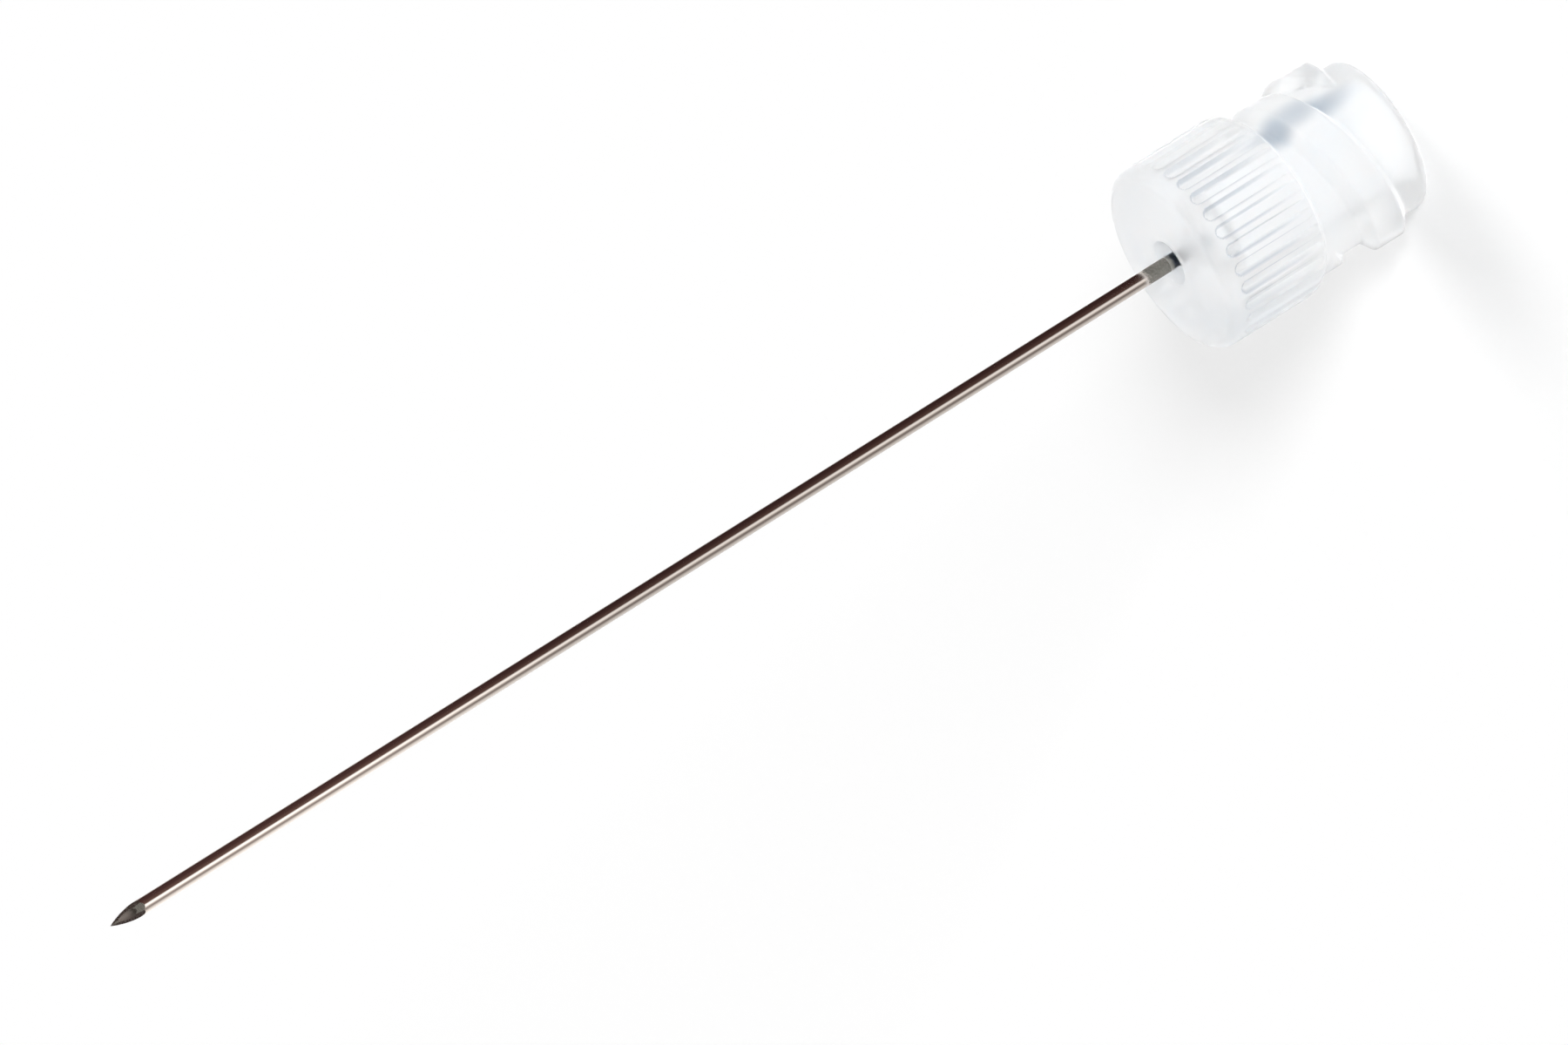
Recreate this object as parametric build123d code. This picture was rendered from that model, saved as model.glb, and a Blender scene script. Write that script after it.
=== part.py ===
from build123d import *
import os
from math import cos, radians, sin, tan

# A hypodermic needle, in millimetres: a bevel-ground steel cannula bonded into a moulded luer-lock hub.
#
# Each piece is modelled along +X, with x = 0 on the flat front face of the hub. The cannula runs from
# there towards -X and the mouth of the luer socket faces +X. A turn is an angle about +X by the
# right-hand rule, counted from +Z.
# At the end the needle is stood on the mouth of its hub, because it rolls when it lies. Its origin is
# then in the middle of the mouth, the point is at the top, and the bevel faces the front, -Y.

# Cannula
cannula_diameter = 0.64
lumen_diameter = 0.34
exposed_length = 52.0

# Point of the cannula: one main bevel, and a grind on each side of it that makes the cutting edges
bevel_angle = 24.0
bevel_turn = 0.0
lancet_angle = 21.0
lancet_lean = 40.0

# Drum, the fluted grip at the front of the hub
drum_diameter = 8.1
drum_length = 5.1
front_round_length = 0.5
front_round_height = 0.45
shoulder_length = 0.95

# Flutes in the drum
flute_count = 30
flute_width = 0.47
flute_depth = 0.28
flute_start = 0.75
flute_turn = 1.0

# Barrel behind the drum
hub_length = 10.4
barrel_diameter = 6.66
mouth_chamfer = 0.25

# Luer-lock thread on the barrel, right-handed
thread_starts = 2
thread_lead = 5.0
thread_height = 0.57
thread_crest_width = 1.3
thread_base_width = 2.15
thread_chamfer = 0.16
thread_setback = 1.35
thread_turn = 135.0
thread_sweep = 250.0
thread_lead_in = 35.0
thread_run_out = 55.0
thread_section_step = 25.0
thinnest_section = 0.1

# Luer socket, with the standard taper on its diameter
socket_diameter = 4.29
socket_depth = 8.2
socket_taper = 0.06
socket_chamfer = 0.12
funnel_diameter = 1.6
funnel_depth = 0.3

# Passage for the cannula, and the well that holds the adhesive round it
passage_clearance = 0.01
well_diameter = 1.7
well_depth = 1.2
well_chamfer = 0.15
meniscus_height = 0.15

# Sizes that follow from the ones above
cannula_radius = cannula_diameter / 2
drum_radius = drum_diameter / 2
barrel_radius = barrel_diameter / 2
thread_flank = (thread_base_width - thread_crest_width) / 2 / thread_height
well_radius = well_diameter / 2
socket_radius = socket_diameter / 2
socket_floor = hub_length - socket_depth
socket_floor_radius = socket_radius - socket_taper * socket_depth / 2
seated_length = socket_floor - funnel_depth


def turned(edges):
    """The solid that a closed half section, drawn as x and radius, makes when it turns about X."""
    return revolve(make_face(edges), axis=Axis.X)


def grind(angle, lean=0.0):
    """What a wheel takes off the tube: all above a plane that rises from the point towards the hub."""
    reach = 4 * cannula_diameter / tan(radians(angle))
    wheel = Pos(0, 0, reach / 2) * Box(2 * reach, 2 * reach, reach)
    point = Pos(-exposed_length, 0, -cannula_radius)
    return Rot(bevel_turn, 0, 0) * point * Rot(lean, 0, 0) * Rot(0, -angle, 0) * wheel


def make_cannula():
    """The steel tube, from its ground point to its square-cut end at the bottom of the funnel."""
    length = exposed_length + seated_length
    tube = Cylinder(cannula_radius, length) - Cylinder(lumen_diameter / 2, length)
    tube = Pos(seated_length - length / 2, 0, 0) * Rot(0, 90, 0) * tube
    tube -= grind(bevel_angle)
    for side in (-1, 1):
        tube -= grind(lancet_angle, side * lancet_lean)
    return tube


def make_adhesive():
    """The cured adhesive: it fills the well, and its front creeps a little way up the cannula."""
    rim = (0, well_radius + well_chamfer)
    crest = (-meniscus_height, cannula_radius)
    sag = (-meniscus_height / 4, (rim[1] + crest[1]) / 2)
    floor = [(well_depth, cannula_radius), (well_depth, well_radius), (well_chamfer, well_radius), rim]
    edges = Polyline(crest, *floor) + ThreePointArc(rim, sag, crest)
    return turned(edges)


def hub_outside():
    """The outside of the hub without its flutes and thread: drum, rounded shoulder and barrel."""
    shoulder = drum_length - shoulder_length
    shoulder_height = drum_radius - barrel_radius
    front_corner = (front_round_length, drum_radius - front_round_height)
    mouth_edge = [(hub_length - mouth_chamfer, barrel_radius), (hub_length, barrel_radius - mouth_chamfer)]
    edges = Polyline((drum_length, barrel_radius), *mouth_edge, (hub_length, 0), (0, 0), (0, front_corner[1]))
    edges += EllipticalCenterArc(front_corner, front_round_length, front_round_height, 90)
    edges += Line((front_round_length, drum_radius), (shoulder, drum_radius))
    edges += EllipticalCenterArc((shoulder, barrel_radius), shoulder_length, shoulder_height)
    return turned(edges)


def hub_inside():
    """The hollow of the hub, from the adhesive well through the passage to the luer socket."""
    passage_radius = cannula_radius + passage_clearance
    mouth_radius = socket_radius - socket_taper * socket_chamfer / 2
    front = [(0, 0), (0, well_radius + well_chamfer), (well_chamfer, well_radius), (well_depth, well_radius)]
    passage = [(well_depth, passage_radius), (seated_length, passage_radius)]
    floor = [(socket_floor, funnel_diameter / 2), (socket_floor, socket_floor_radius)]
    mouth = [(hub_length - socket_chamfer, mouth_radius), (hub_length, socket_radius + socket_chamfer)]
    return turned(Polyline(*front, *passage, *floor, *mouth, (hub_length, 0), close=True))


def flutes():
    """Cutters for the grooves of the drum: flat-bottomed, round at the front, open at the shoulder."""
    length = drum_length + flute_width - flute_start
    floor = Pos(flute_start + length / 2, 0, drum_radius - flute_depth)
    groove = floor * extrude(SlotOverall(length, flute_width), 2 * flute_depth)
    pitch = 360 / flute_count
    return [Rot(flute_turn + pitch * index, 0, 0) * groove for index in range(flute_count)]


def thread_section(turn, size):
    """One cross-section of the thread, in the plane through the axis at a turn.

    Its size is 1 along the thread and less where it runs out. The flanks go on below the surface of
    the barrel, so that the thread and the barrel fuse.
    """
    foot = thread_height / 2
    base = thread_base_width / 2 * size + foot * thread_flank
    crest = thread_crest_width / 2 * size
    low = barrel_radius - foot
    high = barrel_radius + thread_height * size
    outline = make_face(Polyline((-base, low), (base, low), (crest, high), (-crest, high), close=True))
    outline = chamfer(outline.vertices().group_by(Axis.Y)[-1], thread_chamfer * size)
    centre = hub_length - thread_setback - thread_lead * (thread_turn - turn) / 360
    angle = radians(turn)
    plane = Plane(origin=(centre, 0, 0), x_dir=(1, 0, 0), z_dir=(0, -cos(angle), -sin(angle)))
    return plane * outline


def thread():
    """One start of the thread, from where it rises behind the drum to its end near the mouth."""
    steps = round(thread_sweep / thread_section_step)
    sections = []
    for index in range(steps + 1):
        risen = thread_sweep * index / steps
        size = min(1, risen / thread_run_out, (thread_sweep - risen) / thread_lead_in)
        turn = thread_turn - thread_sweep + risen
        sections.append(thread_section(turn, max(size, thinnest_section)))
    return loft(sections)


def make_hub():
    """The moulded hub, as one solid."""
    body = hub_outside() - flutes()
    for start in range(thread_starts):
        body += Rot(360 / thread_starts * start, 0, 0) * thread()
    return body - hub_inside()


def standing(shape):
    """A piece stood on the mouth of the hub, with turn 0 to the front."""
    return Plane(origin=(0, 0, hub_length), x_dir=(0, 0, -1), z_dir=(0, -1, 0)) * shape


names = ("hub", "cannula", "adhesive")
shapes = (make_hub(), make_cannula(), make_adhesive())
os.makedirs("parts", exist_ok=True)
for name, shape in zip(names, shapes):
    export_step(standing(shape), f"parts/{name}.step")
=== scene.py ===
"""A hypodermic needle stood on the mouth of its hub: its looks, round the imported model.

Lengths are in millimetres in the classes and in metres in Blender. The needle's axis is +Z, with the
mouth of the hub at height 0 and the point at the top. "Behind" is the distance behind the flat front
face of the hub, and a turn is an angle about the axis, in degrees from the front, -Y.
"""

import logging
import math
from dataclasses import dataclass, field
from enum import Enum

import bmesh
import bpy
from mathutils import Matrix, Vector


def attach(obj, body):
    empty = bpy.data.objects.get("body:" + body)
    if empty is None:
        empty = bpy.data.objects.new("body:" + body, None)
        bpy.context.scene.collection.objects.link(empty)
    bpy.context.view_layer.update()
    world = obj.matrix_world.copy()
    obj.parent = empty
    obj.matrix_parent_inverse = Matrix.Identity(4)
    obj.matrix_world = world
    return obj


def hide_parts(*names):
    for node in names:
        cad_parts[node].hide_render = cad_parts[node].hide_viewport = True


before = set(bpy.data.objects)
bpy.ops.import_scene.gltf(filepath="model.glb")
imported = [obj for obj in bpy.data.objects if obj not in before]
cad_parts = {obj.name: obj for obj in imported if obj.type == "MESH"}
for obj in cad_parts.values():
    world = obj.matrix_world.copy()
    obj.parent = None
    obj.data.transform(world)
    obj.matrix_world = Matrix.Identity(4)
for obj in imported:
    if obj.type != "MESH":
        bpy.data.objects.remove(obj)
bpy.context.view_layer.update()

log = logging.getLogger("needle")

MM = 0.001
FULL_TURN = 360.0
WHITE = (1.0, 1.0, 1.0, 1.0)
BODY = "root"
# The attribute that marks the painted shade on the walls of the flutes.
FLUTE_SHADE_MASK = "flute_shade_mask"
# Noise keeps mostly between these values.
NOISE_SPAN = (0.3, 0.7)
# Points of a mesh that are closer than this, in millimetres, become one.
WELD = 0.0005
# Points closer than this to a cut, in metres, count as on it.
CUT_MARGIN = 1e-9

# The kinds of node that come up often, and their settings.
MATH = "ShaderNodeMath"
VECTOR = "ShaderNodeVectorMath"
RAMP = "ShaderNodeMapRange"
MIX = "ShaderNodeMix"
NOISE = "ShaderNodeTexNoise"
BUMP = "ShaderNodeBump"
COLOURS = {"data_type": "RGBA", "out": "Result"}
NUMBERS = {"data_type": "FLOAT", "out": "Result"}
SOFT = {"interpolation_type": "SMOOTHSTEP"}

Point = tuple[float, float]
Span = tuple[float, float]
Place = tuple[float, float, float]
Socket = bpy.types.NodeSocket


def linear(colour: str) -> tuple[float, float, float, float]:
    """Turns an sRGB colour into the linear one that a shader takes.

    Args:
        colour: the colour as six hex digits after a hash sign.

    Returns:
        Red, green, blue and an alpha of 1.
    """
    channels = [int(colour[i:i + 2], 16) / 255 for i in (1, 3, 5)]
    red, green, blue = (c / 12.92 if c <= 0.04045 else ((c + 0.055) / 1.055) ** 2.4 for c in channels)
    return red, green, blue, 1.0


def waves(width: float) -> float:
    """Gives how many waves of a width in millimetres go into a metre."""
    return 1 / (width * MM)


def in_metres(span: Span) -> Span:
    """Turns a span in millimetres into one in metres."""
    return span[0] * MM, span[1] * MM


def direction(turn: float, height: float) -> Vector:
    """Gives a direction away from the needle.

    Args:
        turn: how far it is turned to the right of the front, in degrees.
        height: how far it is raised, in degrees.

    Returns:
        The direction, with a length of 1.
    """
    turned, raised = math.radians(turn), math.radians(height)
    return Vector((math.sin(turned) * math.cos(raised), -math.cos(turned) * math.cos(raised),
                   math.sin(raised)))


class Nodes:
    """A node tree in the making."""

    def __init__(self, tree: bpy.types.NodeTree) -> None:
        """Takes up a tree."""
        self.tree = tree

    def feed(self, node: bpy.types.Node, values: dict[int | str, object]) -> None:
        """Fills a node's inputs: a socket is linked, anything else is set.

        Args:
            node: the node.
            values: what goes into its inputs, by their names or numbers.
        """
        for key, value in values.items():
            if isinstance(value, Socket):
                self.tree.links.new(value, node.inputs[key])
            else:
                node.inputs[key].default_value = value

    def add(self, kind: str, *values: object, sockets: dict[str, object] | None = None,
            out: int | str = 0, **settings: object) -> Socket:
        """Adds a node with its settings, values and links.

        Args:
            kind: the node's type.
            values: what goes into its inputs, in order.
            sockets: what goes into inputs called by their names.
            out: the output that is wanted, by its name or number.
            settings: the node's own properties.

        Returns:
            That output.
        """
        node = self.tree.nodes.new(kind)
        for name, value in settings.items():
            setattr(node, name, value)
        self.feed(node, {**dict(enumerate(values)), **(sockets or {})})
        return node.outputs[out]


def shown(name: str, data: bpy.types.ID) -> bpy.types.Object:
    """Puts a mesh, a lamp or a camera into the scene as an object at the origin.

    Args:
        name: the object's name.
        data: the mesh, lamp or camera.

    Returns:
        The object.
    """
    item = bpy.data.objects.new(name, data)
    bpy.context.scene.collection.objects.link(item)
    return item


def smoothed(mesh: bpy.types.Mesh, crease: float) -> bpy.types.Mesh:
    """Welds a mesh, turns its faces outwards and shades it smooth but for its creases.

    Args:
        mesh: the mesh to finish.
        crease: the angle in degrees from which an edge stays sharp.

    Returns:
        The same mesh.
    """
    work = bmesh.new()
    work.from_mesh(mesh)
    bmesh.ops.remove_doubles(work, verts=work.verts, dist=WELD * MM)
    bmesh.ops.recalc_face_normals(work, faces=work.faces)
    work.to_mesh(mesh)
    work.free()
    mesh.shade_smooth()
    mesh.set_sharp_from_angle(angle=math.radians(crease))
    return mesh


class Outline:
    """A closed half section, drawn as points that are so far behind the front face and off the axis."""

    def __init__(self, start: Point) -> None:
        """Starts at a point."""
        self.points: list[Point] = [start]

    def to(self, point: Point, parts: int = 1) -> "Outline":
        """Draws a straight run in equal parts.

        Args:
            point: where the run ends.
            parts: how many parts it has.

        Returns:
            The outline itself, so that calls follow each other.
        """
        x, r = self.points[-1]
        for part in range(1, parts + 1):
            share = part / parts
            self.points.append((x + (point[0] - x) * share, r + (point[1] - r) * share))
        return self

    def arc(self, centre: Point, length: float, height: float, start: float, sweep: float,
            parts: int) -> "Outline":
        """Draws an arc of an ellipse.

        Args:
            centre: the ellipse's centre.
            length: its half size along the axis.
            height: its half size away from the axis.
            start: the angle at which the arc starts, in degrees.
            sweep: how far it turns, in degrees.
            parts: how many parts it has.

        Returns:
            The outline itself.
        """
        for part in range(1, parts + 1):
            angle = math.radians(start + sweep * part / parts)
            self.points.append((centre[0] + length * math.cos(angle), centre[1] + height * math.sin(angle)))
        return self


class Form(Nodes):
    """A Geometry Nodes tree that turns an outline about the axis and shapes what comes out."""

    # The outline travels along a circle of this radius, in millimetres.
    core = 1.0

    def __init__(self, name: str, around: int) -> None:
        """Starts the tree with the turned outline.

        Args:
            name: the tree's name.
            around: how many parts a full turn has.
        """
        super().__init__(bpy.data.node_groups.new(name, "GeometryNodeTree"))
        self.values: dict[str, float] = {}
        interface = self.tree.interface
        interface.new_socket("Outline", in_out="INPUT", socket_type="NodeSocketGeometry")
        interface.new_socket("Piece", in_out="OUTPUT", socket_type="NodeSocketGeometry")
        self.entry = self.tree.nodes.new("NodeGroupInput")
        path = self.add("GeometryNodeCurvePrimitiveCircle",
                        sockets={"Resolution": around, "Radius": self.core * MM})
        drawn = self.add("GeometryNodeMeshToCurve", self.entry.outputs["Outline"])
        self.shape = self.add("GeometryNodeCurveToMesh", path, drawn)

    def size(self, name: str, value: float) -> Socket:
        """Adds a named input to the tree, unless it has it already.

        Args:
            name: the input's name.
            value: what the piece has there.

        Returns:
            The socket that carries it inside the tree.
        """
        if name not in self.values:
            self.tree.interface.new_socket(name, in_out="INPUT", socket_type="NodeSocketFloat")
            self.values[name] = value
        return self.entry.outputs[name]

    def sizes(self, part: object, *names: str) -> list[Socket]:
        """Adds sizes of a part as named inputs.

        Args:
            part: the part.
            names: the fields that hold the sizes.

        Returns:
            Their sockets inside the tree, in order.
        """
        title = type(part).__name__
        return [self.size(f"{title} {name.replace('_', ' ')}", getattr(part, name)) for name in names]

    def finished(self, name: str, outline: Outline, hub_length: float,
                 material: bpy.types.Material) -> bpy.types.Mesh:
        """Ends the tree, runs it on an outline and gives the result as a plain mesh.

        Args:
            name: the mesh's name.
            outline: the half section.
            hub_length: how far the front face is from the mouth.
            material: what the piece is made of.

        Returns:
            The mesh.
        """
        whole = self.add("GeometryNodeRealizeInstances", self.shape)
        dressed = self.add("GeometryNodeSetMaterial", whole, sockets={"Material": material})
        self.feed(self.tree.nodes.new("NodeGroupOutput"), {0: dressed})
        drawing = bpy.data.meshes.new(name + "_outline")
        count = len(outline.points)
        places = [((r - self.core) * MM, (x - hub_length) * MM, 0.0) for x, r in outline.points]
        drawing.from_pydata(places, [(i, (i + 1) % count) for i in range(count)], [])
        source = shown(name + "_source", drawing)
        modifier = source.modifiers.new(name, "NODES")
        modifier.node_group = self.tree
        for socket in self.tree.interface.items_tree:
            if socket.name in self.values:
                modifier[socket.identifier] = self.values[socket.name]
        evaluated = source.evaluated_get(bpy.context.evaluated_depsgraph_get())
        mesh = bpy.data.meshes.new_from_object(evaluated)
        source.modifiers.remove(modifier)
        bpy.data.objects.remove(source)
        bpy.data.meshes.remove(drawing)
        mesh.name = name
        return mesh


class Finish:
    """What a part is made of and how its surface was made. Each finish names its material."""

    name: str

    def inputs(self, nodes: Nodes, place: Socket) -> dict[str, object]:
        """Adds the nodes of the finish.

        Args:
            nodes: the material's tree.
            place: where each point of the piece is, in metres.

        Returns:
            What goes into the shader's inputs.
        """
        raise NotImplementedError

    def material(self) -> bpy.types.Material:
        """Builds the material.

        Returns:
            The material.
        """
        made = bpy.data.materials.new(self.name)
        made.use_nodes = True
        nodes = Nodes(made.node_tree)
        place = nodes.add("ShaderNodeTexCoord", out="Object")
        nodes.feed(made.node_tree.nodes["Principled BSDF"], self.inputs(nodes, place))
        return made


@dataclass(frozen=True)
class Polypropylene(Finish):
    """Natural polypropylene, injection moulded in a spark-eroded tool.

    The bulk is milky, so light wanders through it and its edges glow, and the fine pits of the tool
    leave a satin skin with no sharp reflection. Its index is lower than the plastic's own 1.5, because
    the haze hides how a clear piece would bend the light and darken its edges.
    """

    name: str = "polypropylene_moulded_natural"
    colour: str = "#FFFFFF"
    haze_colour: str = "#FAFCFE"
    haze_span: Span = (0.35, 0.7)
    # Painted shade: the colour of the walls of the flutes.
    flute_shade_colour: str = "#C6CCD4"
    # Painted shade: the colour of the streak along the barrel.
    shade_streak_colour: str = "#A9B6C3"
    streak_place: Place = (2.05, -2.62, 3.8)
    streak_size: Place = (0.95, 0.95, 3.4)
    streak_wander: float = 0.4
    streak_edge: Span = (0.5, 1.35)
    roughness: Span = (0.47, 0.57)
    ior: float = 1.12
    transmission: float = 0.74
    scatter: float = 0.5
    scatter_depth: float = 0.9
    scatter_colours: Place = (0.85, 0.95, 1.0)
    grain: float = 0.06
    grain_height: float = 0.004
    grain_strength: float = 0.6
    flow_width: float = 2.6
    sheen: float = 0.9
    sheen_roughness: float = 0.35

    def inputs(self, nodes: Nodes, place: Socket) -> dict[str, object]:
        """Adds the clouds, the streak, the flute walls and the grain.

        Args:
            nodes: the material's tree.
            place: where each point of the piece is, in metres.

        Returns:
            What goes into the shader's inputs.
        """
        # Melt that cooled at uneven speed clouds the bulk in broad soft patches.
        flow = nodes.add(NOISE, place, sockets={
            "Scale": waves(self.flow_width), "Detail": 2.0, "Roughness": 0.4})
        tint = nodes.add(MIX, **COLOURS, sockets={
            "Factor": nodes.add(RAMP, flow, *self.haze_span),
            "A": linear(self.colour), "B": linear(self.haze_colour)})
        # Painted shade: a soft bluish streak along one side of the barrel stands in for the dark socket
        # wall.
        nearness = nodes.add("ShaderNodeMapping", place, sockets={
            "Location": [-at / size for at, size in zip(self.streak_place, self.streak_size)],
            "Scale": [waves(size) for size in self.streak_size]})
        distance = nodes.add(VECTOR, nearness, operation="LENGTH", out="Value")
        away = nodes.add(MATH, flow, self.streak_wander, distance, operation="MULTIPLY_ADD")
        shade_streaked = nodes.add(MIX, **COLOURS, sockets={
            "Factor": nodes.add(RAMP, away, *self.streak_edge, 1.0, 0.0, **SOFT),
            "A": tint, "B": linear(self.shade_streak_colour)})
        # Painted shade: the walls of the flutes get a darker bluish grey, strongest on flutes that face the
        # front or the back, and faint on those at the sides.
        flute_shade_mask = nodes.add("ShaderNodeAttribute", attribute_name=FLUTE_SHADE_MASK, out="Fac")
        flute_shaded = nodes.add(MIX, **COLOURS, sockets={
            "Factor": flute_shade_mask, "A": shade_streaked, "B": linear(self.flute_shade_colour)})
        # The pits of the tool are about 0.03 mm wide, drawn twice as coarse so that they show.
        grain = nodes.add(NOISE, place, sockets={
            "Scale": waves(self.grain), "Detail": 3.0, "Roughness": 0.6})
        return {
            "Base Color": flute_shaded,
            "Normal": nodes.add(BUMP, sockets={
                "Strength": self.grain_strength, "Distance": self.grain_height * MM, "Height": grain}),
            "Roughness": nodes.add(RAMP, grain, *NOISE_SPAN, *self.roughness),
            "IOR": self.ior,
            "Transmission Weight": self.transmission,
            "Subsurface Weight": self.scatter,
            "Subsurface Radius": self.scatter_colours,
            "Subsurface Scale": self.scatter_depth * MM,
            # The satin skin scatters light that skims it, so the silhouette stays pale.
            "Sheen Weight": self.sheen,
            "Sheen Roughness": self.sheen_roughness,
        }


@dataclass(frozen=True)
class StainlessSteel(Finish):
    """Stainless steel tube, drawn bright, ground at the point and grit-blasted where it is bonded.

    Drawing leaves fine lines along the tube, so its reflections are crisp across and streaked along.
    The blasted end has no lines and no highlight, only a mottled grey. Its edges are heights.
    """

    name: str = "stainless_steel_drawn_tube"
    colour: str = "#E1DAD5"
    drawn_colour: str = "#CFC5BA"
    blasted_colour: str = "#BDBAB2"
    pit_colour: str = "#6B6964"
    # Partly painted shade: the dark colour of the steel under the adhesive.
    wet_and_shade_colour: str = "#343A42"
    passage_colour: str = "#AEB3B9"
    roughness: Span = (0.07, 0.14)
    blasted_roughness: float = 0.55
    line_width: float = 0.025
    line_length: float = 4.0
    line_depth: float = 0.0004
    pit_width: float = 0.09
    pit_depth: float = 0.012
    blasted_raggedness: float = 0.5
    blasted_edge: Span = (11.77, 11.93)
    rim_edge: Span = (10.3, 10.45)
    passage_edge: Span = (9.0, 9.5)

    def inputs(self, nodes: Nodes, place: Socket) -> dict[str, object]:
        """Adds the drawn lines, the blasted band, and what the adhesive wets.

        Args:
            nodes: the material's tree.
            place: where each point of the piece is, in metres.

        Returns:
            What goes into the shader's inputs.
        """
        # The die's lines run along the tube: noise that is narrow across it and long along it.
        across = waves(self.line_width)
        drawn = nodes.add("ShaderNodeMapping", place,
                          sockets={"Scale": (across, across, waves(self.line_length))})
        lines = nodes.add(NOISE, drawn, sockets={"Scale": 1.0, "Detail": 3.0, "Roughness": 0.6})
        pits = nodes.add(NOISE, place, sockets={
            "Scale": waves(self.pit_width), "Detail": 4.0, "Roughness": 0.65})
        # The blasting stops in a ragged ring a millimetre in front of the hub.
        height = nodes.add("ShaderNodeSeparateXYZ", place, out="Z")
        ragged = nodes.add(MATH, pits, self.blasted_raggedness * MM, height, operation="MULTIPLY_ADD")
        bright = nodes.add(RAMP, ragged, *in_metres(self.blasted_edge))
        steel = nodes.add(MIX, **COLOURS, sockets={
            "Factor": lines, "A": linear(self.drawn_colour), "B": linear(self.colour)})
        mottle = nodes.add(MIX, **COLOURS, sockets={
            "Factor": pits, "A": linear(self.pit_colour), "B": linear(self.blasted_colour)})
        # Below the rim of the adhesive the steel is dark: wetted steel is a little darker, and the rest is
        # painted shade for the tube seen inside the hub. In the passage below the adhesive the steel is dry
        # and brighter.
        bonded = nodes.add(MIX, **COLOURS, sockets={
            "Factor": nodes.add(RAMP, height, *in_metres(self.passage_edge)),
            "A": linear(self.passage_colour), "B": linear(self.wet_and_shade_colour)})
        seated = nodes.add(MIX, **COLOURS, sockets={
            "Factor": nodes.add(RAMP, height, *in_metres(self.rim_edge)), "A": bonded, "B": mottle})
        satin = nodes.add(RAMP, lines, *NOISE_SPAN, *self.roughness)
        depth = nodes.add(MIX, **NUMBERS, sockets={
            "Factor": bright, "A": self.pit_depth * MM, "B": self.line_depth * MM})
        pattern = nodes.add(MIX, **NUMBERS, sockets={"Factor": bright, "A": pits, "B": lines})
        return {
            "Base Color": nodes.add(MIX, **COLOURS, sockets={"Factor": bright, "A": seated, "B": steel}),
            "Roughness": nodes.add(MIX, **NUMBERS, sockets={
                "Factor": bright, "A": self.blasted_roughness, "B": satin}),
            "Normal": nodes.add(BUMP, sockets={"Strength": 1.0, "Distance": depth, "Height": pattern}),
            "Metallic": 1.0,
        }


@dataclass(frozen=True)
class GroundSteel(Finish):
    """The same steel where the point was ground: flat, a little duller, with fine lines across it."""

    name: str = "stainless_steel_ground"
    colour: str = "#CDC8C2"
    dark_colour: str = "#A09993"
    roughness: Span = (0.208, 0.338)
    line_width: float = 0.02
    line_length: float = 0.25
    line_depth: float = 0.001

    def inputs(self, nodes: Nodes, place: Socket) -> dict[str, object]:
        """Adds the lines of the wheel.

        Args:
            nodes: the material's tree.
            place: where each point of the piece is, in metres.

        Returns:
            What goes into the shader's inputs.
        """
        # The wheel's lines lie across the bevel, as close as its grit.
        along = waves(self.line_length)
        across = nodes.add("ShaderNodeMapping", place,
                           sockets={"Scale": (along, along, waves(self.line_width))})
        lines = nodes.add(NOISE, across, sockets={"Scale": 1.0, "Detail": 4.0, "Roughness": 0.7})
        return {
            "Base Color": nodes.add(MIX, **COLOURS, sockets={
                "Factor": lines, "A": linear(self.dark_colour), "B": linear(self.colour)}),
            "Roughness": nodes.add(RAMP, lines, *NOISE_SPAN, *self.roughness),
            "Normal": nodes.add(BUMP, sockets={
                "Strength": 1.0, "Distance": self.line_depth * MM, "Height": lines}),
            "Metallic": 1.0,
        }


@dataclass(frozen=True)
class BoreSteel(Finish):
    """The inside of the tube, drawn without a polish: dull, with the grey scale of annealing left on."""

    name: str = "stainless_steel_annealed_bore"
    colour: str = "#C4BCB6"
    roughness: float = 0.8
    scale_width: float = 0.05
    scale_depth: float = 0.005

    def inputs(self, nodes: Nodes, place: Socket) -> dict[str, object]:
        """Adds the scale.

        Args:
            nodes: the material's tree.
            place: where each point of the piece is, in metres.

        Returns:
            What goes into the shader's inputs.
        """
        # Scale lies in specks, which catch a little light.
        specks = nodes.add(NOISE, place, sockets={"Scale": waves(self.scale_width), "Detail": 2.0})
        return {
            "Base Color": linear(self.colour),
            "Roughness": self.roughness,
            "Normal": nodes.add(BUMP, sockets={
                "Strength": 1.0, "Distance": self.scale_depth * MM, "Height": specks}),
            "Metallic": 1.0,
        }


@dataclass(frozen=True)
class Epoxy(Finish):
    """Epoxy adhesive, dispensed and cured: clear, with a wavy poured surface that shows the tube in it."""

    name: str = "epoxy_cured_clear"
    colour: str = "#FDFEFF"
    roughness: float = 0.42
    ior: float = 1.04
    transmission: float = 1.0
    wave_width: float = 0.35
    wave_depth: float = 0.02
    wave_strength: float = 0.5

    def inputs(self, nodes: Nodes, place: Socket) -> dict[str, object]:
        """Adds the waves of the surface.

        Args:
            nodes: the material's tree.
            place: where each point of the piece is, in metres.

        Returns:
            What goes into the shader's inputs.
        """
        # The drop levelled out before it set, and kept slow waves.
        swell = nodes.add(NOISE, place, sockets={"Scale": waves(self.wave_width), "Detail": 1.0})
        return {
            "Base Color": linear(self.colour),
            "Roughness": self.roughness,
            "Normal": nodes.add(BUMP, sockets={
                "Strength": self.wave_strength, "Distance": self.wave_depth * MM, "Height": swell}),
            # The index is close to the air's, so that the surface neither mirrors nor hides the tube.
            "IOR": self.ior,
            "Transmission Weight": self.transmission,
        }


class Part(Enum):
    """The finish of each part of the tube, by its material slot."""

    OUTSIDE = 0
    GROUND = 1
    BORE = 2


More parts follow.
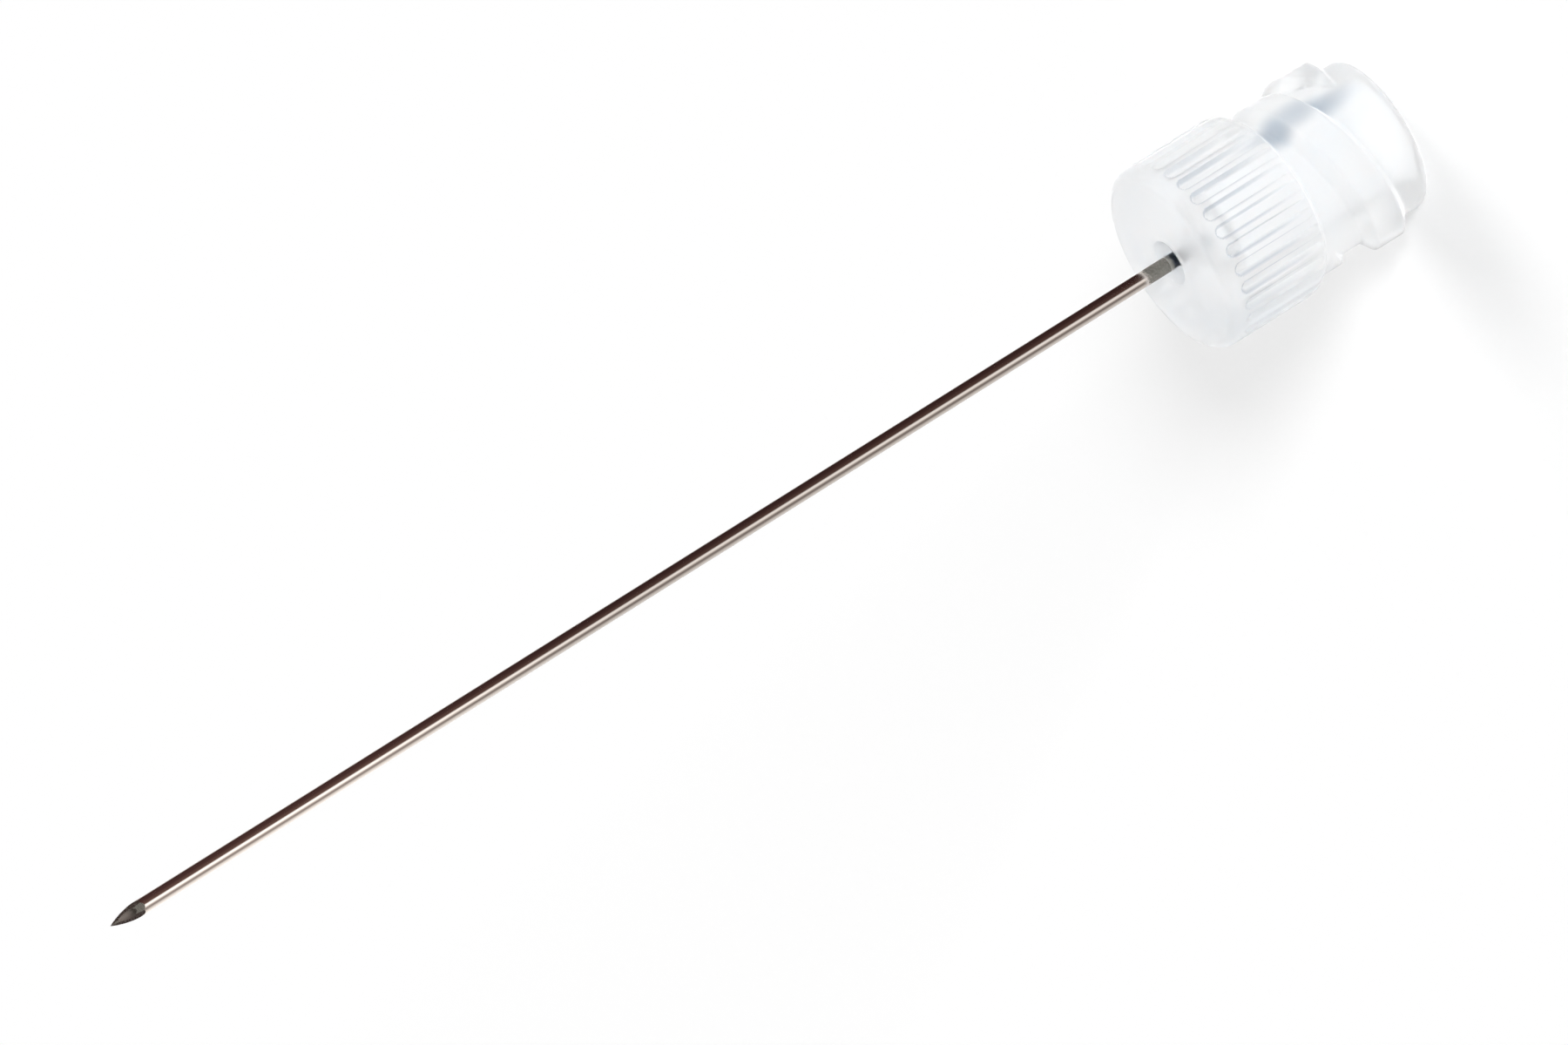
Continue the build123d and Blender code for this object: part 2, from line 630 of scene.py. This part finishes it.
@dataclass
class Cannula:
    """The steel tube with its ground point."""

    diameter: float = 0.64
    bore: float = 0.34
    exposed: float = 52.0
    seated: float = 1.9
    bevel_angle: float = 24.0
    lancet_angle: float = 21.0
    lancet_lean: float = 50.0
    around: int = 96
    crease: float = 20.0
    steel: StainlessSteel = field(default_factory=StainlessSteel)
    ground: GroundSteel = field(default_factory=GroundSteel)
    inside: BoreSteel = field(default_factory=BoreSteel)

    @property
    def radius(self) -> float:
        """The tube's outer radius."""
        return self.diameter / 2

    def tube(self, bottom: float, top: float) -> bmesh.types.BMesh:
        """Makes the tube before it is ground, closed at both ends.

        Args:
            bottom: the height of its lower end.
            top: the height of its upper end.

        Returns:
            The tube.
        """
        work = bmesh.new()
        rings = []
        bore = self.bore / 2
        for radius, height in ((self.radius, bottom), (self.radius, top), (bore, top), (bore, bottom)):
            ring = []
            for step in range(self.around):
                angle = math.tau * (step + 0.5) / self.around
                place = Vector((radius * math.cos(angle), radius * math.sin(angle), height))
                ring.append(work.verts.new(place * MM))
            rings.append(ring)
        walls = (Part.OUTSIDE, Part.OUTSIDE, Part.BORE, Part.OUTSIDE)
        for wall, ring, other in zip(walls, rings, rings[1:] + rings[:1]):
            for step in range(self.around):
                beside = (step + 1) % self.around
                face = work.faces.new((ring[step], ring[beside], other[beside], other[step]))
                face.material_index = wall.value
        return work

    def grind(self, work: bmesh.types.BMesh, angle: float, lean: float, point: float) -> None:
        """Takes off all that a wheel reaches, and leaves a flat face.

        Args:
            work: the tube.
            angle: the angle between the wheel's plane and the axis.
            lean: how far the wheel is turned about the axis-parallel line through the point.
            point: the height of the point.
        """
        slope = math.radians(angle)
        upright = Vector((0, -math.cos(slope), math.sin(slope)))
        facing = Matrix.Rotation(math.radians(lean), 3, "Z") @ upright
        tip = Vector((0, self.radius * MM, point * MM))
        cut = bmesh.ops.bisect_plane(work, geom=[*work.verts, *work.edges, *work.faces],
                                     dist=CUT_MARGIN, plane_co=tip, plane_no=facing, clear_outer=True)
        rim = [item for item in cut["geom_cut"] if isinstance(item, bmesh.types.BMEdge)]
        made = bmesh.ops.triangle_fill(work, use_beauty=True, edges=rim)
        for item in made["geom"]:
            if isinstance(item, bmesh.types.BMFace):
                item.material_index = Part.GROUND.value

    def build(self, hub_length: float) -> bpy.types.Object:
        """Builds and dresses the cannula.

        Args:
            hub_length: the height of the hub's front face.

        Returns:
            The piece.
        """
        point = hub_length + self.exposed
        work = self.tube(hub_length - self.seated, point)
        self.grind(work, self.bevel_angle, 0.0, point)
        for side in (-1, 1):
            self.grind(work, self.lancet_angle, side * self.lancet_lean, point)
        bmesh.ops.recalc_face_normals(work, faces=work.faces)
        mesh = bpy.data.meshes.new("cannula_tube")
        work.to_mesh(mesh)
        work.free()
        for finish in (self.steel, self.ground, self.inside):
            mesh.materials.append(finish.material())
        mesh.shade_smooth()
        mesh.set_sharp_from_angle(angle=math.radians(self.crease))
        return shown("cannula_tube", mesh)


@dataclass
class Adhesive:
    """The cured adhesive in the well round the cannula."""

    well_diameter: float = 1.7
    well_depth: float = 1.2
    well_chamfer: float = 0.15
    meniscus: float = 0.15
    film: float = 0.01
    around: int = 96
    crease: float = 50.0
    epoxy: Epoxy = field(default_factory=Epoxy)

    def build(self, hub_length: float, tube_radius: float) -> bpy.types.Object:
        """Builds and dresses the adhesive.

        Args:
            hub_length: the height of the hub's front face.
            tube_radius: the cannula's outer radius.

        Returns:
            The piece.
        """
        well = self.well_diameter / 2
        rim = well + self.well_chamfer
        # A film's width keeps its faces apart from those of the well and the tube.
        floor, side, inner = self.well_depth - self.film, well - self.film, tube_radius + self.film
        front = rim - self.film
        outline = Outline((floor, inner)).to((floor, side), 4)
        outline.to((self.well_chamfer, side), 8).to((0.0, front), 2)
        # The liquid wetted the steel: a hollow quarter round runs out of the well and up the tube.
        outline.arc((-self.meniscus, front), self.meniscus, front - inner, 0, -90, 14)
        outline.to((self.well_depth / 2, inner), 6)
        form = Form("adhesive_form", self.around)
        mesh = form.finished("adhesive_ring", outline, hub_length, self.epoxy.material())
        return shown("adhesive_ring", smoothed(mesh, self.crease))


@dataclass
class Drum:
    """The fluted grip at the front of the hub.

    The wall line and its edge set a painted shade on the walls of the flutes. It is crisp on walls that
    face far enough to the front or the back, and it fades from a distance behind the front face on.
    """

    diameter: float = 8.1
    length: float = 5.1
    front_round_length: float = 0.5
    front_round_height: float = 0.45
    shoulder: float = 0.95
    shoulder_turn: float = 78.0
    corner_fill: float = 0.1
    flutes: int = 30
    flute_width: float = 0.47
    flute_depth: float = 0.28
    flute_start: float = 0.75
    flute_turn: float = 1.0
    flute_softness: float = 0.05
    fine_before: float = 0.1
    fine_behind: float = 0.4
    wall_line: float = 0.06
    line_edge: Span = (0.4, 1.0)
    line_fade: float = 2.4
    shade_facing: Span = (0.4, 0.85)

    @property
    def radius(self) -> float:
        """The drum's outer radius."""
        return self.diameter / 2


@dataclass
class Thread:
    """The two-start luer-lock thread on the barrel."""

    starts: int = 2
    lead: float = 5.0
    height: float = 0.57
    crest_width: float = 1.3
    base_width: float = 2.15
    softness: float = 0.1
    setback: float = 1.35
    turn: float = 135.0
    sweep: float = 250.0
    lead_in: float = 35.0
    run_out: float = 55.0


@dataclass
class Bore:
    """What is hollow in the hub behind the adhesive well: passage, funnel and socket."""

    socket_diameter: float = 4.29
    socket_depth: float = 8.2
    socket_taper: float = 0.06
    socket_chamfer: float = 0.12
    funnel_diameter: float = 1.6
    funnel_depth: float = 0.3
    clearance: float = 0.01


@dataclass(frozen=True)
class Spot:
    """Where each point of the hub is: its turn, how far it is behind the front face, and its radius."""

    turn: Socket
    behind: Socket
    radius: Socket


@dataclass
class Hub:
    """The moulded hub: drum, barrel, thread and bore in one piece.

    Only points that are less than the edge band below the barrel's surface rise into the thread.
    """

    length: float = 10.4
    barrel_diameter: float = 6.66
    mouth_round: float = 0.25
    edge_band: float = 0.3
    around: int = 480
    crease: float = 62.0
    drum: Drum = field(default_factory=Drum)
    thread: Thread = field(default_factory=Thread)
    bore: Bore = field(default_factory=Bore)
    plastic: Polypropylene = field(default_factory=Polypropylene)

    @property
    def barrel(self) -> float:
        """The barrel's outer radius."""
        return self.barrel_diameter / 2

    def outline(self, tube: float, adhesive: Adhesive) -> Outline:
        """Draws the half section, with no flutes and no thread.

        Args:
            tube: the cannula's outer radius.
            adhesive: the adhesive, which gives the well its size.

        Returns:
            The closed outline.
        """
        drum = self.drum
        well = adhesive.well_diameter / 2
        face_edge = drum.radius - drum.front_round_height
        shoulder = drum.length - drum.shoulder
        drawn = Outline((0.0, well + adhesive.well_chamfer)).to((0.0, face_edge), 6)
        drawn.arc((drum.front_round_length, face_edge), drum.front_round_length, drum.front_round_height,
                  180, -90, 8)
        # The mesh is finest where the round fronts of the flutes are.
        drawn.to((drum.flute_start - drum.fine_before, drum.radius), 2)
        drawn.to((drum.flute_start + drum.fine_behind, drum.radius), 10)
        drawn.to((shoulder, drum.radius), 12)
        drawn.arc((shoulder, self.barrel), drum.shoulder, drum.radius - self.barrel, 90,
                  -drum.shoulder_turn, 14)
        drawn.to((drum.length + drum.corner_fill, self.barrel), 2)
        drawn.to((self.length - self.mouth_round, self.barrel), 60)
        drawn.arc((self.length - self.mouth_round, self.barrel - self.mouth_round), self.mouth_round,
                  self.mouth_round, 90, -90, 6)
        return self.hollow(drawn, tube, well, adhesive)

    def hollow(self, drawn: Outline, tube: float, well: float, adhesive: Adhesive) -> Outline:
        """Draws the inside of the half section, from the mouth back to the well.

        Args:
            drawn: the outline so far, which ends at the mouth.
            tube: the cannula's outer radius.
            well: the radius of the adhesive well.
            adhesive: the adhesive.

        Returns:
            The closed outline.
        """
        bore = self.bore
        socket = bore.socket_diameter / 2
        slope = bore.socket_taper / 2
        floor = self.length - bore.socket_depth
        passage = tube + bore.clearance
        drawn.to((self.length, socket + bore.socket_chamfer), 3)
        drawn.to((self.length - bore.socket_chamfer, socket - slope * bore.socket_chamfer), 2)
        drawn.to((floor, socket - slope * bore.socket_depth), 14)
        drawn.to((floor, bore.funnel_diameter / 2), 3)
        drawn.to((floor - bore.funnel_depth, passage), 3)
        drawn.to((adhesive.well_depth, passage), 2)
        drawn.to((adhesive.well_depth, well), 3)
        drawn.to((adhesive.well_chamfer, well), 4)
        return drawn

    def from_flute(self, form: Form, at: Spot) -> Socket:
        """Works out how far each point is outside the nearest flute: a slot, open at its rear.

        Args:
            form: the hub's tree.
            at: where each point is.

        Returns:
            The distance, which is below 0 in a flute.
        """
        outer, count, width, start, first = form.sizes(
            self.drum, "radius", "flutes", "flute_width", "flute_start", "flute_turn")
        pitch = form.add(MATH, FULL_TURN, count, operation="DIVIDE")
        half_pitch = form.add(MATH, pitch, 0.5, operation="MULTIPLY")
        low = form.add(MATH, pitch, -0.5, operation="MULTIPLY")
        counted = form.add(MATH, at.turn, first, operation="SUBTRACT")
        off = form.add(MATH, counted, half_pitch, low, operation="WRAP")
        angle = form.add(MATH, off, operation="RADIANS")
        across = form.add(MATH, angle, outer, operation="MULTIPLY")
        half_width = form.add(MATH, width, 0.5, operation="MULTIPLY")
        centre = form.add(MATH, start, half_width, operation="ADD")
        past = form.add(MATH, at.behind, centre, operation="SUBTRACT")
        before = form.add(MATH, past, 0.0, operation="MINIMUM")
        flat = form.add("ShaderNodeCombineXYZ", across, before, 0.0)
        away = form.add(VECTOR, flat, operation="LENGTH", out="Value")
        return form.add(MATH, away, half_width, operation="SUBTRACT")

    def flute_cut(self, form: Form, at: Spot, outside: Socket) -> Socket:
        """Works out how deep the flutes cut at each point.

        Args:
            form: the hub's tree.
            at: where each point is.
            outside: how far it is outside the nearest flute.

        Returns:
            The depth to take off.
        """
        outer, depth, soft = form.sizes(self.drum, "radius", "flute_depth", "flute_softness")
        share = form.add(MATH, outside, soft, operation="DIVIDE")
        carved = form.add(RAMP, share, -0.5, 0.5, 1.0, 0.0, **SOFT)
        floor = form.add(MATH, outer, depth, operation="SUBTRACT")
        above = form.add(MATH, at.radius, floor, operation="SUBTRACT")
        proud = form.add(MATH, above, 0.0, operation="MAXIMUM")
        return form.add(MATH, proud, carved, operation="MULTIPLY")

    def flute_wall_shade(self, form: Form, at: Spot, outside: Socket) -> Socket:
        """Marks the walls of the flutes with the mask of a painted shade, which the material turns darker.

        Args:
            form: the hub's tree.
            at: where each point is.
            outside: how far it is outside the nearest flute.

        Returns:
            1 on a wall, and less towards the sides and the rear of the drum.
        """
        drum = self.drum
        line, rear = form.sizes(drum, "wall_line", "length")
        floor, = form.sizes(self, "barrel")
        middle = form.add(MATH, outside, drum.flute_softness / 2, operation="SUBTRACT")
        off = form.add(MATH, middle, operation="ABSOLUTE")
        share = form.add(MATH, off, line, operation="DIVIDE")
        angle = form.add(MATH, at.turn, operation="RADIANS")
        facing = form.add(MATH, form.add(MATH, angle, operation="COSINE"), operation="ABSOLUTE")
        mark = form.add(RAMP, share, *drum.line_edge, 1.0, 0.0, **SOFT)
        for factor in (
            form.add(MATH, at.radius, floor, operation="GREATER_THAN"),
            form.add(MATH, at.behind, rear, operation="LESS_THAN"),
            form.add(RAMP, facing, *drum.shade_facing, **SOFT),
            form.add(RAMP, at.behind, drum.line_fade, drum.length, 1.0, 0.0, **SOFT),
        ):
            mark = form.add(MATH, mark, factor, operation="MULTIPLY")
        return mark

    def thread_rise(self, form: Form, at: Spot) -> Socket:
        """Works out how far the thread stands up at each point of the barrel.

        Args:
            form: the hub's tree.
            at: where each point is.

        Returns:
            The height to add.
        """
        thread = self.thread
        lead, height, crest, base, soft = form.sizes(
            thread, "lead", "height", "crest_width", "base_width", "softness")
        last, sweep, lead_in, run_out = form.sizes(thread, "turn", "sweep", "lead_in", "run_out")
        end = form.size("Thread end", self.length - thread.setback)
        edge = form.size("Barrel edge", self.barrel - self.edge_band)
        spread = form.add(MATH, base, crest, operation="SUBTRACT")
        half_spread = form.add(MATH, spread, 0.5, operation="MULTIPLY")
        steepness = form.add(MATH, height, half_spread, operation="DIVIDE")
        half_base = form.add(MATH, base, 0.5, operation="MULTIPLY")
        first = form.add(MATH, last, sweep, operation="SUBTRACT")
        counted = form.add(MATH, at.turn, first, operation="SUBTRACT")
        ridges = []
        for start in range(thread.starts):
            own = form.add(MATH, counted, FULL_TURN / thread.starts * start, operation="SUBTRACT")
            risen = form.add(MATH, own, FULL_TURN, 0.0, operation="WRAP")
            left = form.add(MATH, sweep, risen, operation="SUBTRACT")
            opening = form.add(MATH, risen, run_out, operation="DIVIDE")
            closing = form.add(MATH, left, lead_in, operation="DIVIDE")
            least = form.add(MATH, opening, closing, operation="MINIMUM")
            size = form.add("ShaderNodeClamp", least, 0.0, 1.0)
            turns = form.add(MATH, left, FULL_TURN, operation="DIVIDE")
            drop = form.add(MATH, turns, lead, operation="MULTIPLY")
            centre = form.add(MATH, end, drop, operation="SUBTRACT")
            along = form.add(MATH, at.behind, centre, operation="SUBTRACT")
            distance = form.add(MATH, along, operation="ABSOLUTE")
            foot = form.add(MATH, half_base, size, operation="MULTIPLY")
            inside = form.add(MATH, foot, distance, operation="SUBTRACT")
            flank = form.add(MATH, inside, steepness, operation="MULTIPLY")
            top = form.add(MATH, height, size, operation="MULTIPLY")
            capped = form.add(MATH, flank, top, soft, operation="SMOOTH_MIN")
            ridges.append(form.add(MATH, capped, 0.0, operation="MAXIMUM"))
        rise = ridges[0]
        for ridge in ridges[1:]:
            rise = form.add(MATH, rise, ridge, operation="MAXIMUM")
        outer = form.add(MATH, at.radius, edge, operation="GREATER_THAN")
        return form.add(MATH, rise, outer, operation="MULTIPLY")

    def build(self, tube: float, adhesive: Adhesive) -> bpy.types.Object:
        """Builds and dresses the hub.

        Args:
            tube: the cannula's outer radius.
            adhesive: the adhesive.

        Returns:
            The piece.
        """
        form = Form("hub_form", self.around)
        place = form.add(VECTOR, form.add("GeometryNodeInputPosition"),
                         operation="SCALE", sockets={"Scale": 1 / MM})
        x, y, z = form.add("ShaderNodeSeparateXYZ", place).node.outputs
        across = form.add("ShaderNodeCombineXYZ", x, y, 0.0)
        right = form.add(MATH, x, -1.0, operation="MULTIPLY")
        front = form.add(MATH, y, -1.0, operation="MULTIPLY")
        angle = form.add(MATH, right, front, operation="ARCTAN2")
        length, = form.sizes(self, "length")
        behind = form.add(MATH, length, z, operation="SUBTRACT")
        radius = form.add(VECTOR, across, operation="LENGTH", out="Value")
        at = Spot(form.add(MATH, angle, operation="DEGREES"), behind, radius)
        outside = self.from_flute(form, at)
        cut = self.flute_cut(form, at, outside)
        change = form.add(MATH, self.thread_rise(form, at), cut, operation="SUBTRACT")
        marked = form.add("GeometryNodeStoreNamedAttribute", form.shape,
                          sockets={"Name": FLUTE_SHADE_MASK, "Value": self.flute_wall_shade(form, at, outside)})
        outwards = form.add(VECTOR, across, operation="NORMALIZE")
        shift = form.add(VECTOR, outwards, operation="SCALE",
                         sockets={"Scale": form.add(MATH, change, MM, operation="MULTIPLY")})
        form.shape = form.add("GeometryNodeSetPosition", marked, sockets={"Offset": shift})
        mesh = form.finished("hub_moulding", self.outline(tube, adhesive), self.length,
                             self.plastic.material())
        return shown("hub_moulding", smoothed(mesh, self.crease))


@dataclass(frozen=True)
class Band:
    """A colour that the steel mirrors from one bearing, in degrees from -Y towards -X."""

    bearing: float
    colour: str


@dataclass(frozen=True)
class Lamp:
    """A far, soft lamp: its strength, its width, its turn to the right of the front and its height."""

    name: str
    strength: float
    width: float
    turn: float
    height: float

    def build(self) -> None:
        """Hangs the lamp. Mirrors see the cards and not the lamp itself."""
        lamp = bpy.data.lights.new(self.name, "SUN")
        lamp.energy = self.strength
        lamp.angle = math.radians(self.width)
        hung = shown(self.name, lamp)
        hung.rotation_mode = "QUATERNION"
        hung.rotation_quaternion = direction(self.turn, self.height).to_track_quat("Z", "Y")
        hung.visible_glossy = False


@dataclass
class Set:
    """The floor, the lamps and the cards that the steel mirrors. None of it is part of the needle.

    A tube that stands mirrors the ground round it. The needle was photographed lying between a dark
    room and a long soft lamp, so a ring with those bands lies on the floor, and only mirrors see it.
    """

    floor_colour: str = "#FFFFFF"
    floor_size: float = 6.0
    fill: float = 0.55
    key: Lamp = Lamp("key", 1.85, 9.0, 8.0, 18.0)
    top: Lamp = Lamp("top", 0.9, 32.0, 108.0, 60.0)
    floor_glow: float = 0.02
    ring_inner: float = 5.0
    ring_outer: float = 450.0
    ring_lift: float = 0.02
    ring_levels: Span = (1.16, 1.85)
    ring_graded: Span = (105.0, 142.0)
    room_radius: float = 700.0
    room_bottom: float = 1.0
    room_top: float = 700.0
    room_span: Span = (-120.0, 120.0)
    room_levels: Span = (1.0, 1.0)
    strip_parts: int = 96
    room_bands: tuple[Band, ...] = (
        Band(-180, "#514541"),
        Band(-60, "#514541"),
        Band(-30, "#8A8A84"),
        Band(30, "#8A8A84"),
        Band(60, "#483A38"),
        Band(180, "#483A38"),
    )
    ring_bands: tuple[Band, ...] = (
        Band(-180, "#B4AFAC"),
        Band(-148, "#A49E9B"),
        Band(-132, "#332122"),
        Band(-60, "#3F2C2A"),
        Band(-8, "#5A4641"),
        Band(10, "#FFFFFF"),
        Band(27, "#F8F5F3"),
        Band(42, "#B0A9A6"),
        Band(56, "#807977"),
        Band(66, "#837C7A"),
        Band(82, "#B4B0AE"),
        Band(104, "#D6D4D3"),
        Band(150, "#E8E8E8"),
        Band(180, "#B4AFAC"),
    )

    def seen(self, nodes: Nodes) -> Socket:
        """Adds the test for rays that should see a white background: straight, mirrored or let through.

        Args:
            nodes: the tree that asks.

        Returns:
            1 for such a ray, else 0.
        """
        path = nodes.add("ShaderNodeLightPath").node.outputs
        first = nodes.add(MATH, path["Is Camera Ray"], path["Is Glossy Ray"], operation="MAXIMUM")
        return nodes.add(MATH, first, path["Is Transmission Ray"], operation="MAXIMUM")

    def world(self) -> None:
        """Lights the scene with an even sky, which is plain white to the eye."""
        world = bpy.data.worlds.new("studio")
        bpy.context.scene.world = world
        world.use_nodes = True
        nodes = Nodes(world.node_tree)
        level = nodes.add(MIX, **NUMBERS, sockets={"Factor": self.seen(nodes), "A": self.fill, "B": 1.0})
        nodes.feed(world.node_tree.nodes["Background"], {"Color": WHITE, "Strength": level})

    def surface(self, name: str, mesh: bpy.types.Mesh) -> Nodes:
        """Gives a mesh an empty material.

        Args:
            name: the material's name.
            mesh: the mesh that wears it.

        Returns:
            The material's tree, with only its output in it.
        """
        made = bpy.data.materials.new(name)
        made.use_nodes = True
        mesh.materials.append(made)
        made.node_tree.nodes.remove(made.node_tree.nodes["Principled BSDF"])
        return Nodes(made.node_tree)

    def floor(self) -> None:
        """Lays the white floor, which keeps the needle's shadow."""
        half = self.floor_size / 2
        mesh = bpy.data.meshes.new("floor")
        mesh.from_pydata([(-half, -half, 0), (half, -half, 0), (half, half, 0), (-half, half, 0)], [],
                         [(0, 1, 2, 3)])
        nodes = self.surface("floor_white", mesh)
        paint = nodes.add("ShaderNodeBsdfDiffuse", linear(self.floor_colour))
        glow = nodes.add(MATH, self.seen(nodes), self.floor_glow, operation="MULTIPLY")
        both = nodes.add("ShaderNodeAddShader", paint, nodes.add("ShaderNodeEmission", WHITE, glow))
        nodes.feed(nodes.tree.nodes["Material Output"], {"Surface": both})
        shown("floor", mesh)

    def strip(self, name: str, span: Span, near: Point, far: Point) -> bpy.types.Mesh:
        """Makes a surface that goes round the needle from one bearing to another.

        Args:
            name: its name.
            span: the bearings at which it starts and ends.
            near: the distance from the axis and the height of its first edge.
            far: those of its other edge.

        Returns:
            The surface.
        """
        places = []
        for step in range(self.strip_parts + 1):
            bearing = span[0] + (span[1] - span[0]) * step / self.strip_parts
            outwards = direction(-bearing, 0.0)
            for radius, height in (near, far):
                places.append((radius * outwards + Vector((0, 0, height))) * MM)
        faces = [(at, at + 1, at + 3, at + 2) for at in range(0, 2 * self.strip_parts, 2)]
        mesh = bpy.data.meshes.new(name)
        mesh.from_pydata(places, [], faces)
        return mesh

    def card(self, name: str, mesh: bpy.types.Mesh, bands: tuple[Band, ...], levels: Span) -> None:
        """Adds a card whose light changes from bearing to bearing, and which only mirrors see.

        Args:
            name: its name.
            mesh: its shape.
            bands: its colours, from -180 to 180 degrees.
            levels: how strong its light is at the ring's near and far distance.
        """
        nodes = self.surface(name + "_bands", mesh)
        place = nodes.add("ShaderNodeTexCoord", out="Object")
        x, y, _ = nodes.add("ShaderNodeSeparateXYZ", place).node.outputs
        left = nodes.add(MATH, x, -1.0, operation="MULTIPLY")
        front = nodes.add(MATH, y, -1.0, operation="MULTIPLY")
        angle = nodes.add(MATH, left, front, operation="ARCTAN2")
        colours = nodes.add("ShaderNodeValToRGB", nodes.add(RAMP, angle, -math.pi, math.pi))
        stops = colours.node.color_ramp.elements
        while len(stops) < len(bands):
            stops.new(1.0)
        for stop, band in zip(stops, bands):
            stop.position = (band.bearing + FULL_TURN / 2) / FULL_TURN
        for stop, band in zip(stops, bands):
            stop.color = linear(band.colour)
        away = nodes.add(VECTOR, place, operation="LENGTH", out="Value")
        level = nodes.add(RAMP, away, *in_metres(self.ring_graded), *levels)
        light = nodes.add("ShaderNodeEmission", colours, level)
        nodes.feed(nodes.tree.nodes["Material Output"], {"Surface": light})
        card = shown(name, mesh)
        card.visible_camera = False
        card.visible_diffuse = False
        card.visible_shadow = False
        card.visible_volume_scatter = False
        card.visible_transmission = False

    def cards(self) -> None:
        """Lays the ring that draws the bands on the tube, and puts up the room round the point."""
        ring = self.strip("ring", (-180, 180), (self.ring_inner, self.ring_lift),
                          (self.ring_outer, self.ring_lift))
        self.card("ring", ring, self.ring_bands, self.ring_levels)
        room = self.strip("room", self.room_span, (self.room_radius, self.room_bottom),
                          (self.room_radius, self.room_top))
        self.card("room", room, self.room_bands, self.room_levels)

    def build(self) -> None:
        """Builds the whole set."""
        self.world()
        self.floor()
        self.key.build()
        self.top.build()
        self.cards()


@dataclass
class Camera:
    """The camera, placed as the photograph was taken: nearly side on, a little from the point's end."""

    above: float = 21.0
    bearing: float = 0.0
    distance: float = 1150.0
    frame_width: float = 61.3
    sensor: float = 36.0
    clip: Span = (100.0, 20000.0)
    centre_from_tip: float = 32.44
    centre_off_axis: float = 0.602
    axis_in_picture: float = 32.075

    def build(self, tip: float) -> None:
        """Makes the camera and hands it to the scene.

        Args:
            tip: the height of the point.
        """
        towards = direction(self.bearing, self.above)
        down = Vector((0, 0, -1))
        along = (down - down.dot(towards) * towards).normalized()
        beside = along.cross(towards)
        lean = math.radians(self.axis_in_picture)
        right = math.cos(lean) * along + math.sin(lean) * beside
        up = math.sin(lean) * along - math.cos(lean) * beside
        target = Vector((0, 0, tip - self.centre_from_tip)) + self.centre_off_axis * beside
        place = target + self.distance * towards
        data = bpy.data.cameras.new("camera")
        data.sensor_width = self.sensor
        data.lens = self.sensor * self.distance / self.frame_width
        data.clip_start, data.clip_end = in_metres(self.clip)
        camera = shown("camera", data)
        turned = Matrix((right, up, towards)).transposed().to_4x4()
        camera.matrix_world = Matrix.Translation(place * MM) @ turned
        bpy.context.scene.camera = camera


@dataclass
class Needle:
    """The whole needle, each piece in the place of its solid."""

    hub: Hub = field(default_factory=Hub)
    cannula: Cannula = field(default_factory=Cannula)
    adhesive: Adhesive = field(default_factory=Adhesive)

    def settle(self, piece: bpy.types.Object, node: str) -> None:
        """Puts a piece in the place of its solid.

        Args:
            piece: the piece.
            node: the solid's node.
        """
        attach(piece, BODY)
        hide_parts(node)
        log.info("%s: %d faces", piece.name, len(piece.data.polygons))

    def build(self) -> None:
        """Builds the pieces in order."""
        tube = self.cannula.radius
        self.settle(self.hub.build(tube, self.adhesive), "hub")
        self.settle(self.cannula.build(self.hub.length), "cannula")
        self.settle(self.adhesive.build(self.hub.length, tube), "adhesive")


def main() -> None:
    """Builds the needle, the set and the camera."""
    logging.basicConfig(level=logging.INFO, format="%(name)s %(message)s")
    scene = bpy.context.scene
    scene.view_settings.view_transform = "Standard"
    needle = Needle()
    needle.build()
    Set().build()
    Camera().build(needle.hub.length + needle.cannula.exposed)
    bpy.context.view_layer.update()


if __name__ == "__main__":
    main()
